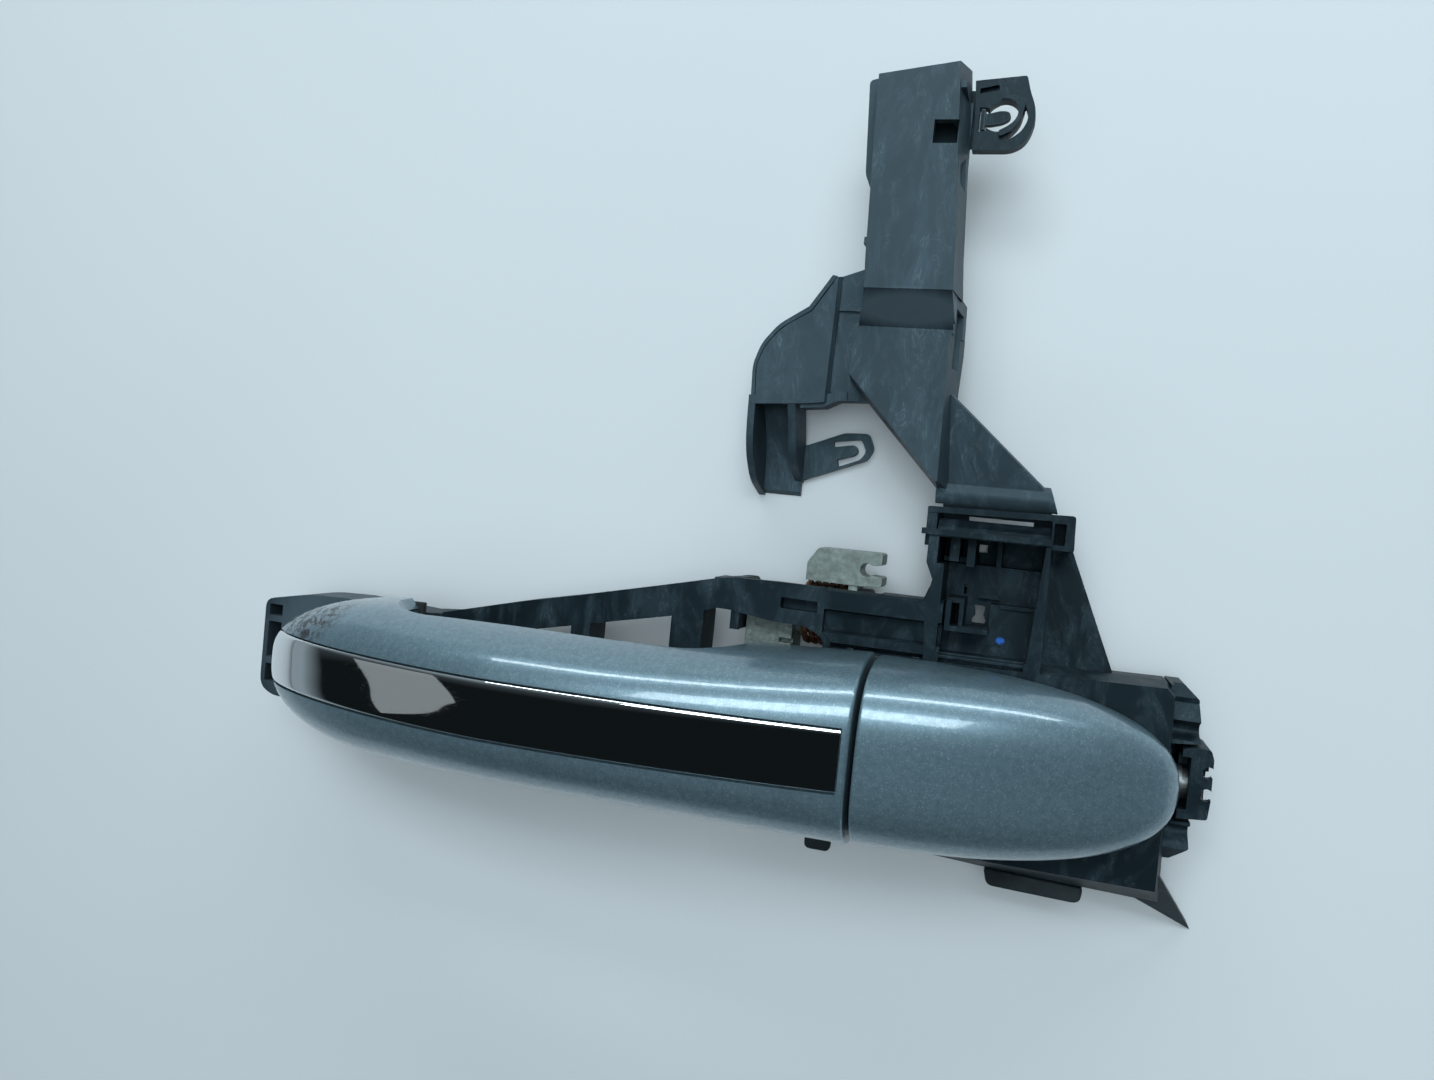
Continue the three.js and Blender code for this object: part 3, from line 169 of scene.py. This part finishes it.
class Tree:
    """A short way to write a shader: links for what varies over a surface, plain values for the rest."""

    def __init__(self, owner, shader="Principled BSDF"):
        self.nodes = owner.node_tree.nodes
        self.links = owner.node_tree.links
        self.shader = self.nodes[shader]
        self.values = {}

    def new(self, kind, **settings):
        node = self.nodes.new(kind)
        for key, value in settings.items():
            setattr(node, key, value)
        return node

    def put(self, socket, value):
        if isinstance(value, bpy.types.NodeSocket):
            self.links.new(value, socket)
        elif isinstance(value, tuple) and len(value) == 3 and socket.type == "RGBA":
            socket.default_value = (*value, 1.0)
        else:
            socket.default_value = value

    def apply(self):
        for key, value in self.values.items():
            self.put(self.shader.inputs[key], value)

    def coords(self, scale=(1, 1, 1), move=(0, 0, 0)):
        place = self.new("ShaderNodeMapping")
        self.links.new(self.new("ShaderNodeTexCoord").outputs["Object"], place.inputs["Vector"])
        place.inputs["Location"].default_value = move
        place.inputs["Scale"].default_value = scale
        return place.outputs["Vector"]

    def noise(self, where, scale, detail=4.0, rough=0.55, bend=0.0):
        node = self.new("ShaderNodeTexNoise")
        self.put(node.inputs["Vector"], where)
        node.inputs["Scale"].default_value = scale
        node.inputs["Detail"].default_value = detail
        node.inputs["Roughness"].default_value = rough
        node.inputs["Distortion"].default_value = bend
        return node.outputs["Fac"]

    def cell_colors(self, where, scale):
        node = self.new("ShaderNodeTexVoronoi")
        self.put(node.inputs["Vector"], where)
        node.inputs["Scale"].default_value = scale
        return node.outputs["Color"]

    def ramp(self, factor, stops):
        """A curve through (place, value) stops, where a value is a grey level or a colour."""
        node = self.new("ShaderNodeValToRGB")
        while len(node.color_ramp.elements) < len(stops):
            node.color_ramp.elements.new(0.5)
        for element, (at, value) in zip(node.color_ramp.elements, stops):
            element.position = at
            element.color = (*value, 1.0) if isinstance(value, tuple) else (value, value, value, 1.0)
        self.put(node.inputs["Fac"], factor)
        return node.outputs["Color"]

    def math(self, what, a, b=0.5):
        node = self.new("ShaderNodeMath", operation=what)
        self.put(node.inputs[0], a)
        self.put(node.inputs[1], b)
        return node.outputs[0]

    def mix(self, factor, a, b):
        node = self.new("ShaderNodeMix", data_type="RGBA")
        self.put(node.inputs["Factor"], factor)
        first, second = [socket for socket in node.inputs if socket.type == "RGBA"]
        self.put(first, a)
        self.put(second, b)
        return next(socket for socket in node.outputs if socket.type == "RGBA")

    def bump(self, height, strength, distance=0.0002, onto=None):
        node = self.new("ShaderNodeBump")
        node.inputs["Strength"].default_value = strength
        node.inputs["Distance"].default_value = distance
        self.put(node.inputs["Height"], height)
        if onto is not None:
            self.put(node.inputs["Normal"], onto)
        return node.outputs["Normal"]

    def spot(self, centre, size, soft=0.5):
        """1 inside an ellipsoid of that size round the centre, falling to 0 at its edge."""
        where = self.coords([1 / s for s in size], [-c / s for c, s in zip(centre, size)])
        length = self.new("ShaderNodeVectorMath", operation="LENGTH")
        self.put(length.inputs[0], where)
        return self.ramp(length.outputs["Value"], [(1 - soft, 1.0), (1.0, 0.0)])


# ---------------------------------------------------------------- materials
NOSE_SCUFF = {"centre": (-0.147, 0.0125, 0.018), "size": (0.016, 0.009, 0.012)}


def paint_material():
    """Metallic paint under a clear coat, slightly soiled, and worn through in a patch on the nose."""
    mat = new_material("silver_blue_paint")
    t = Tree(mat)
    where = t.coords()
    flake = t.cell_colors(where, 3600.0)
    tone = t.noise(where, 700.0, detail=3.0)
    base = t.ramp(tone, [(0.3, (0.105, 0.168, 0.203)), (0.7, (0.145, 0.218, 0.258))])
    bright = t.math("MULTIPLY", t.ramp(flake, [(0.70, 0.0), (1.0, 1.0)]), 0.28)
    sparkle = t.mix(bright, base, (0.46, 0.58, 0.64))
    worn = t.ramp(t.noise(where, 420.0, detail=8.0, rough=0.75), [(0.48, 0.0), (0.53, 1.0)])
    scuff = t.math("MULTIPLY", t.spot(**NOSE_SCUFF, soft=0.4), worn)
    dirt = t.ramp(t.noise(where, 60.0, detail=7.0, rough=0.7), [(0.52, 0.0), (0.72, 1.0)])
    soiled = t.mix(t.math("MULTIPLY", dirt, 0.25), sparkle, (0.085, 0.115, 0.125))
    t.values["Base Color"] = t.mix(scuff, soiled, (0.02, 0.025, 0.03))
    t.values["Metallic"] = 0.55
    t.values["Roughness"] = t.mix(scuff, t.ramp(tone, [(0.3, 0.36), (0.7, 0.30)]), (0.6, 0.6, 0.6))
    t.values["Coat Weight"] = 0.8
    t.values["Coat Roughness"] = 0.06
    peel = t.noise(where, 260.0, detail=2.0)
    fine = t.noise(where, 1500.0, detail=2.0)
    t.values["Normal"] = t.bump(fine, 0.05, 0.00005, onto=t.bump(peel, 0.03, 0.0002))
    t.apply()
    return mat


def chrome_material():
    mat = new_material("mirror_chrome")
    t = Tree(mat)
    along = t.coords(scale=(6.0, 160.0, 160.0))
    scratch = t.ramp(t.noise(along, 14.0, detail=6.0, rough=0.7), [(0.60, 0.0), (0.72, 1.0)])
    t.values["Base Color"] = (0.80, 0.81, 0.82)
    t.values["Metallic"] = 1.0
    t.values["Roughness"] = t.ramp(scratch, [(0.0, 0.035), (1.0, 0.16)])
    t.values["Normal"] = t.bump(scratch, 0.04, 0.00003)
    t.apply()
    return mat


# The carrier's front end is painted lighter: partly dust, partly a painted sheen for the light its raised
# faces catch.
FRONT_END = {"centre": (-0.150, 0.0, 0.0), "size": (0.034, 0.030, 0.030)}
FRONT_END_SHEEN_GREY = (0.062, 0.085, 0.100)
# The latch arm's step is painted lighter: partly dust, partly painted light that lifts the shade on a face
# turned away from the lamps.
ARM_STEP = {"centre": (0.0, 0.1018, 0.0100), "size": (0.017, 0.0060, 0.0085)}
ARM_STEP_LIT_GREY = (0.120, 0.162, 0.190)
PAINT_DOT = {"centre": (0.0276, 0.0266, -0.0085), "size": (0.0012, 0.0010, 0.0010)}


def plastic_material(name, dark, light, scuffs, dust_and_light_place=FRONT_END, dust_and_light_tone=FRONT_END_SHEEN_GREY):
    """Moulded black plastic between two tones, with scuffs, fine scratches, dust, a blue paint dot, and one
    place painted lighter, partly dust and partly painted light.
    """
    mat = new_material(name)
    t = Tree(mat)
    where = t.coords()
    swirl = t.noise(t.coords(scale=(1.0, 0.35, 1.0)), 75.0, detail=9.0, rough=0.68, bend=2.2)
    hair = t.noise(t.coords(scale=(1.0, 0.30, 1.0)), 150.0, detail=3.5, rough=0.6, bend=1.6)
    base = t.ramp(t.noise(where, 28.0, detail=5.0), [(0.3, dark), (0.7, light)])
    rubbed = t.math("MULTIPLY", t.ramp(swirl, [(0.46, 0.0), (0.66, 1.0)]), scuffs)
    scuffed = t.mix(rubbed, base, (0.045, 0.072, 0.090))
    lines = t.ramp(hair, [(0.485, 0.0), (0.50, 0.8), (0.515, 0.0), (0.545, 0.0), (0.56, 0.8), (0.575, 0.0)])
    scratched = t.mix(t.math("MULTIPLY", lines, rubbed), scuffed, (0.110, 0.140, 0.155))
    # One place painted lighter, partly dust and partly painted light: a sheen on the front end, lifted
    # shade on the arm's step.
    dust_and_light_spot = t.spot(**dust_and_light_place, soft=0.4)
    dust_and_light_lifted = t.mix(t.math("MULTIPLY", dust_and_light_spot, 0.7), scratched, dust_and_light_tone)
    dust = t.ramp(t.noise(where, 190.0, detail=6.0, rough=0.7), [(0.60, 0.0), (0.72, 1.0)])
    dusty = t.mix(t.math("MULTIPLY", dust, 0.22), dust_and_light_lifted, (0.08, 0.105, 0.118))
    ragged = t.ramp(t.noise(where, 950.0, detail=3.0), [(0.40, 0.0), (0.50, 1.0)])
    dot = t.math("MULTIPLY", t.spot(**PAINT_DOT, soft=0.4), ragged)
    t.values["Base Color"] = t.mix(dot, dusty, (0.015, 0.085, 0.34))
    t.values["Roughness"] = t.ramp(swirl, [(0.35, 0.44), (0.65, 0.60)])
    t.values["Specular IOR Level"] = 0.25
    t.values["Specular Tint"] = (0.70, 0.90, 1.0)
    grain = t.noise(where, 1100.0, detail=3.0)
    t.values["Normal"] = t.bump(grain, 0.12, 0.00008, onto=t.bump(swirl, 0.08, 0.0002))
    t.apply()
    return mat


def rubber_material():
    mat = new_material("soft_rubber")
    t = Tree(mat)
    where = t.coords()
    tone = t.noise(where, 160.0, detail=6.0)
    t.values["Base Color"] = t.ramp(tone, [(0.3, (0.008, 0.011, 0.013)), (0.75, (0.022, 0.029, 0.033))])
    t.values["Roughness"] = 0.72
    t.values["Normal"] = t.bump(t.noise(where, 900.0, detail=4.0), 0.2, 0.0001)
    t.apply()
    return mat


def zinc_material():
    mat = new_material("zinc_casting")
    t = Tree(mat)
    where = t.coords()
    speckle = t.noise(where, 620.0, detail=8.0, rough=0.75)
    blotch = t.noise(where, 90.0, detail=5.0)
    base = t.ramp(speckle, [(0.32, (0.115, 0.140, 0.130)), (0.68, (0.33, 0.385, 0.365))])
    stained = t.ramp(blotch, [(0.45, 0.0), (0.7, 0.6)])
    t.values["Base Color"] = t.mix(stained, base, (0.155, 0.185, 0.17))
    t.values["Metallic"] = 0.6
    t.values["Roughness"] = t.ramp(speckle, [(0.3, 0.62), (0.7, 0.42)])
    t.values["Normal"] = t.bump(speckle, 0.25, 0.0001)
    t.apply()
    return mat


def steel_material():
    mat = new_material("plated_steel")
    t = Tree(mat)
    where = t.coords(scale=(1.0, 3.0, 3.0))
    wear = t.noise(where, 420.0, detail=7.0)
    t.values["Base Color"] = t.ramp(wear, [(0.3, (0.20, 0.22, 0.22)), (0.7, (0.42, 0.45, 0.46))])
    t.values["Metallic"] = 1.0
    t.values["Roughness"] = t.ramp(wear, [(0.3, 0.60), (0.7, 0.45)])
    t.values["Normal"] = t.bump(wear, 0.1, 0.00005)
    t.apply()
    return mat


def rust_material():
    mat = new_material("rusted_wire")
    t = Tree(mat)
    where = t.coords()
    grain = t.noise(where, 700.0, detail=9.0, rough=0.75)
    rust = [(0.3, (0.025, 0.012, 0.008)), (0.52, (0.10, 0.042, 0.022)), (0.75, (0.24, 0.12, 0.06))]
    t.values["Base Color"] = t.ramp(grain, rust)
    t.values["Metallic"] = t.ramp(grain, [(0.4, 0.7), (0.6, 0.1)])
    t.values["Roughness"] = 0.78
    t.values["Normal"] = t.bump(grain, 0.5, 0.00015)
    t.apply()
    return mat


# By the record's material slot, and two more: for paler rounded edges, and for the most scuffed pieces.
MATERIALS = {
    "paint": paint_material(),
    "chrome": chrome_material(),
    "black_plastic": plastic_material("glass_filled_plastic", (0.0030, 0.0065, 0.0090),
                                      (0.0065, 0.0125, 0.0165), scuffs=0.28),
    "black_plastic_edge": plastic_material("paler_plastic_edge", (0.030, 0.043, 0.050),
                                           (0.046, 0.063, 0.073), scuffs=0.3),
    "arm_plastic": plastic_material("scuffed_arm_plastic", (0.022, 0.034, 0.042),
                                    (0.036, 0.054, 0.066), scuffs=0.75, dust_and_light_place=ARM_STEP,
                                    dust_and_light_tone=ARM_STEP_LIT_GREY),
    "rubber": rubber_material(),
    "zinc": zinc_material(),
    "steel": steel_material(),
    "spring_steel": rust_material(),
}
SCUFFED = ("latch_arm", "cable_guide")


def dress_nodes():
    slots = {entry["node"]: entry["material_slot"] for entry in frame["record"]["subparts"]}
    for name, obj in NODES.items():
        obj.data.materials.clear()
        obj.data.materials.append(MATERIALS["arm_plastic" if name in SCUFFED else slots[name]])


# ---------------------------------------------------------------- rounded edges on the moulded pieces
WELD_DISTANCE = 0.000004
FLAT_ANGLE = math.radians(0.6)
BEVEL_ANGLE = math.radians(28)
# Width of each node's bevel, in millimetres.
BEVELS = {
    "carrier_frame": 0.35,
    "latch_arm": 0.45,
    "cable_guide": 0.35,
    "latch_clip": 0.3,
    "clip_hook": 0.3,
    "screw_collar": 0.4,
    "skin_buffer": 0.7,
    "release_lever": 0.4,
    "grip_pull_arm": 0.4,
    "grip_pivot_hook": 0.4,
    "rear_gasket": 0.3,
    "front_gasket": 0.3,
    "retaining_screw": 0.25,
}


def round_edges(name, width):
    """Rounds a node's edges. On black plastic the rounding takes the second slot's paler plastic."""
    obj = NODES[name]
    weld = obj.modifiers.new("weld", "WELD")
    weld.merge_threshold = WELD_DISTANCE
    flat = obj.modifiers.new("flat", "DECIMATE")
    flat.decimate_type = "DISSOLVE"
    flat.angle_limit = FLAT_ANGLE
    bevel = obj.modifiers.new("bevel", "BEVEL")
    bevel.width = width * MM
    bevel.segments = 2
    bevel.limit_method = "ANGLE"
    bevel.angle_limit = BEVEL_ANGLE
    bevel.use_clamp_overlap = True
    bevel.harden_normals = False
    if obj.data.materials[0] in (MATERIALS["black_plastic"], MATERIALS["arm_plastic"]):
        obj.data.materials.append(MATERIALS["black_plastic_edge"])
        bevel.material = 1
    obj.modifiers.new("normals", "WEIGHTED_NORMAL").keep_sharp = False
    for face in obj.data.polygons:
        face.use_smooth = True


# ---------------------------------------------------------------- painted shells and bright strip
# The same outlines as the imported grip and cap, in millimetres, drawn with many more points.
BASE = 2.9
WALL = 2.6
# The flat face at the split has a rounded edge, and the full sections start just behind it.
FACE_ROUND = 0.7
FULL_FROM = 0.9
TIP_MARGIN = 0.02
GRIP = {"tip": -167.8, "end": -0.5, "nose": -123.5, "peak": -85.0, "height": 37.5, "drop": 8.0,
        "half_width": 20.3, "middle": -1.2, "widens_from": -60.0, "flare": 1.7, "middle_rise": 0.6,
        "solid_tip": 5.0}
ARCH = {"top": 20.5, "floor": -2.0, "front": -122.5, "rear": -33.0, "round": 15.0, "half_length": 30.0,
        "straight": 10.0, "front_flare": 0.055, "rear_flare": 0.022}
CAP = {"start": 0.7, "tip": 69.3, "half_width": 21.5, "middle": -0.5, "height": 29.6, "slope": 0.16,
       "solid_tip": 4.5}
STRIP = {"half_width": 7.35, "depth": 1.9, "gap": 0.3, "end": -2.2, "roll": 0.8, "thickness": 1.25,
         "groove_top": 6.0, "tip_margin": 0.03, "side_margin": 0.05}
SHARP_ANGLE = math.radians(35)
# Every cross-section is a half superellipse with these powers across and up.
SHOULDER = {"across": 3.2, "up": 2.85}


def fall(s, power, root):
    """From 1 at s = 0 down to 0 at s = 1, along a superellipse-like curve."""
    return max(0.0, 1 - s ** power) ** (1 / root)


class GripShape:
    @staticmethod
    def widening(x):
        """0 up to the place where the grip starts to widen, rising to 1 at x = 0."""
        return max(0.0, (x - GRIP["widens_from"]) / -GRIP["widens_from"])

    @staticmethod
    def half_width(x):
        bar = GRIP["half_width"] + GRIP["flare"] * GripShape.widening(x) ** 1.5
        along = max(0.0, (GRIP["nose"] - x) / (GRIP["nose"] - GRIP["tip"]))
        return bar * fall(along, 1.97, 2)

    @staticmethod
    def middle(x):
        return GRIP["middle"] + GRIP["middle_rise"] * GripShape.widening(x)

    @staticmethod
    def crest(x):
        if x > GRIP["peak"]:
            return GRIP["height"] - GRIP["drop"] * ((x - GRIP["peak"]) / -GRIP["peak"]) ** 2.2
        along = (GRIP["peak"] - x) / (GRIP["peak"] - GRIP["tip"])
        return BASE + (GRIP["height"] - BASE) * fall(along, 1.5, 1.9)


class CapShape:
    @staticmethod
    def half_width(x):
        return CAP["half_width"] * fall(x / CAP["tip"], 2.75, 2.4)

    @staticmethod
    def middle(x):
        return CAP["middle"]

    @staticmethod
    def crest(x):
        rise = CAP["height"] - BASE - CAP["slope"] * x
        return BASE + rise * fall(x / CAP["tip"], 2.65, 1.82)


def section(x, shape, inset=0.0, base=BASE, steps=72):
    """Up from the base, over one shoulder, across the crown and down the other side."""
    half_width = max(0.03, shape.half_width(x) - inset)
    rise = max(0.03, shape.crest(x) - inset - base)
    ring = []
    for i in range(steps + 1):
        a = math.pi * i / steps
        across = math.copysign(abs(math.cos(a)) ** (2 / SHOULDER["across"]), math.cos(a))
        up = max(0.0, math.sin(a)) ** (2 / SHOULDER["up"])
        ring.append((x, shape.middle(x) + half_width * across, base + rise * up))
    return ring


def loft(name, rings):
    """One closed body through rings of equal count, with flat ends. The rings are in millimetres."""
    bm = bmesh.new()
    rows = [[bm.verts.new([c * MM for c in point]) for point in ring] for ring in rings]
    count = len(rings[0])
    for low, high in zip(rows, rows[1:]):
        for i in range(count):
            j = (i + 1) % count
            bm.faces.new((low[i], low[j], high[j], high[i]))
    bm.faces.new(rows[0][::-1])
    bm.faces.new(rows[-1])
    bmesh.ops.recalc_face_normals(bm, faces=bm.faces)
    mesh = bpy.data.meshes.new(name)
    bm.to_mesh(mesh)
    bm.free()
    piece = bpy.data.objects.new(name, mesh)
    scene.collection.objects.link(piece)
    return piece


def carve(piece, *tools):
    """Cuts the tools out of the piece and throws the tools away."""
    for tool in tools:
        cutter = piece.modifiers.new("carve", "BOOLEAN")
        cutter.operation = "DIFFERENCE"
        cutter.solver = "EXACT"
        cutter.object = tool
    graph = bpy.context.evaluated_depsgraph_get()
    mesh = bpy.data.meshes.new_from_object(piece.evaluated_get(graph))
    piece.modifiers.clear()
    piece.data = mesh
    for tool in tools:
        bpy.data.objects.remove(tool)


def crowded(start, end, count):
    """Stations that crowd towards the end."""
    return [mix(start, end, math.sin(math.pi / 2 * i / (count - 1))) for i in range(count)]


def rounded_start(start, stations):
    """Sections that shrink towards the flat face at the split, as (x, inset)."""
    way = math.copysign(FACE_ROUND, stations[-1] - start)
    turn = [math.pi / 2 * i / 5 for i in range(5)]
    lead = [(start + way * (1 - math.cos(a)), FACE_ROUND * (1 - math.sin(a))) for a in turn]
    return lead + [(x, 0.0) for x in stations]


def arch_space():
    """The finger opening between the two feet, wider towards both sides."""
    radius = ARCH["round"]
    turn = [math.pi / 2 * k / 14 for k in range(15)]
    corner = [(radius * (1 - math.cos(a)), ARCH["top"] - radius * (1 - math.sin(a))) for a in turn]
    rings = []
    for i in range(49):
        y = mix(-ARCH["half_length"], ARCH["half_length"], i / 48)
        beyond = max(0.0, abs(y) - ARCH["straight"])
        front = ARCH["front"] - ARCH["front_flare"] * beyond ** 2
        rear = ARCH["rear"] + ARCH["rear_flare"] * beyond ** 2
        front_arc = [(front + along, y, z) for along, z in corner]
        rear_arc = [(rear - along, y, z) for along, z in corner[::-1]]
        rings.append([(front, y, ARCH["floor"]), *front_arc, *rear_arc, (rear, y, ARCH["floor"])])
    return loft("arch_space", rings)


def crest_normal(x, dx=0.03):
    """The outward normal of the grip's crest line, as its x and z."""
    slope = (GripShape.crest(x + dx) - GripShape.crest(max(x - dx, GRIP["tip"]))) / (2 * dx)
    length = math.hypot(1, slope)
    return -slope / length, 1 / length


def strip_groove():
    """The space that the strip is let into, from its depth in the grip to well above the crest."""
    low, high, w = -STRIP["depth"], STRIP["groove_top"], STRIP["half_width"]
    corners = [(-w, low), (w, low), (w, high), (-w, high)]
    rings = []
    for x in crowded(STRIP["end"], GRIP["tip"], 130):
        nx, nz = crest_normal(x)
        z = GripShape.crest(x)
        rings.append([(x + nx * h, y, z + nz * h) for y, h in corners])
    return loft("strip_groove", rings)


def finish_piece(piece, node, body, slot):
    """Shades the piece smoothly up to its sharp edges, and puts it in the CAD node's place."""
    for face in piece.data.polygons:
        face.use_smooth = True
    piece.data.set_sharp_from_angle(angle=SHARP_ANGLE)
    piece.data.materials.clear()
    piece.data.materials.append(MATERIALS[slot])
    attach(piece, body)
    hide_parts(node)


def make_grip_skin():
    stations = rounded_start(GRIP["end"], crowded(GRIP["end"] - FULL_FROM, GRIP["tip"] + TIP_MARGIN, 130))
    skin = loft("grip_skin", [section(x, GripShape, inset) for x, inset in stations])
    inner = crowded(GRIP["end"] - WALL, GRIP["tip"] + GRIP["solid_tip"], 60)
    hollow = loft("grip_hollow", [section(x, GripShape, WALL, BASE - 1, 40) for x in inner])
    carve(skin, hollow, arch_space(), strip_groove())
    finish_piece(skin, "grip_outer_shell", "grip", "paint")


def make_cap_skin():
    stations = rounded_start(CAP["start"], crowded(CAP["start"] + FULL_FROM, CAP["tip"] - TIP_MARGIN, 90))
    skin = loft("cap_skin", [section(x, CapShape, inset) for x, inset in stations])
    inner = crowded(CAP["start"] + WALL, CAP["tip"] - CAP["solid_tip"], 50)
    hollow = loft("cap_hollow", [section(x, CapShape, WALL, BASE - 1, 40) for x in inner])
    carve(skin, hollow)
    finish_piece(skin, "end_cap_shell", "carrier", "paint")


def grip_surface(x, y):
    """The height of the grip's own surface."""
    u = min(1.0, abs(y - GripShape.middle(x)) / max(0.01, GripShape.half_width(x)))
    return BASE + (GripShape.crest(x) - BASE) * fall(u, SHOULDER["across"], SHOULDER["up"])


def make_strip():
    """Follows the grip's own surface, with rolled edges along both sides."""
    roll = STRIP["roll"]
    thickness = STRIP["thickness"]
    across = 36
    edge = STRIP["half_width"] - STRIP["gap"]
    rings = []
    for x in crowded(STRIP["end"] - STRIP["gap"], GRIP["tip"] + STRIP["tip_margin"], 170):
        nx, nz = crest_normal(x)
        reach = GripShape.half_width(x) - STRIP["side_margin"]
        left = max(-edge, GripShape.middle(x) - reach)
        right = min(edge, GripShape.middle(x) + reach)
        top = []
        for i in range(across + 1):
            y = mix(left, right, 0.5 - 0.5 * math.cos(math.pi * i / across))
            over = max(0.0, abs(y) - (edge - roll)) / roll
            drop = roll * (1 - math.sqrt(max(0.0, 1 - over ** 2)))
            top.append((y, grip_surface(x, y), drop))
        upper = [(x - nx * drop, y, max(BASE, z - nz * drop)) for y, z, drop in top]
        lower = [(x - nx * thickness, y, max(BASE, z - nz * thickness)) for y, z, drop in top]
        rings.append(upper + lower[::-1])
    strip = loft("bright_strip", rings)
    finish_piece(strip, "chrome_insert", "grip", "chrome")


make_camera()
make_floor()
make_light()
dress_nodes()
for node_name, bevel_width in BEVELS.items():
    round_edges(node_name, bevel_width)
make_grip_skin()
make_cap_skin()
make_strip()
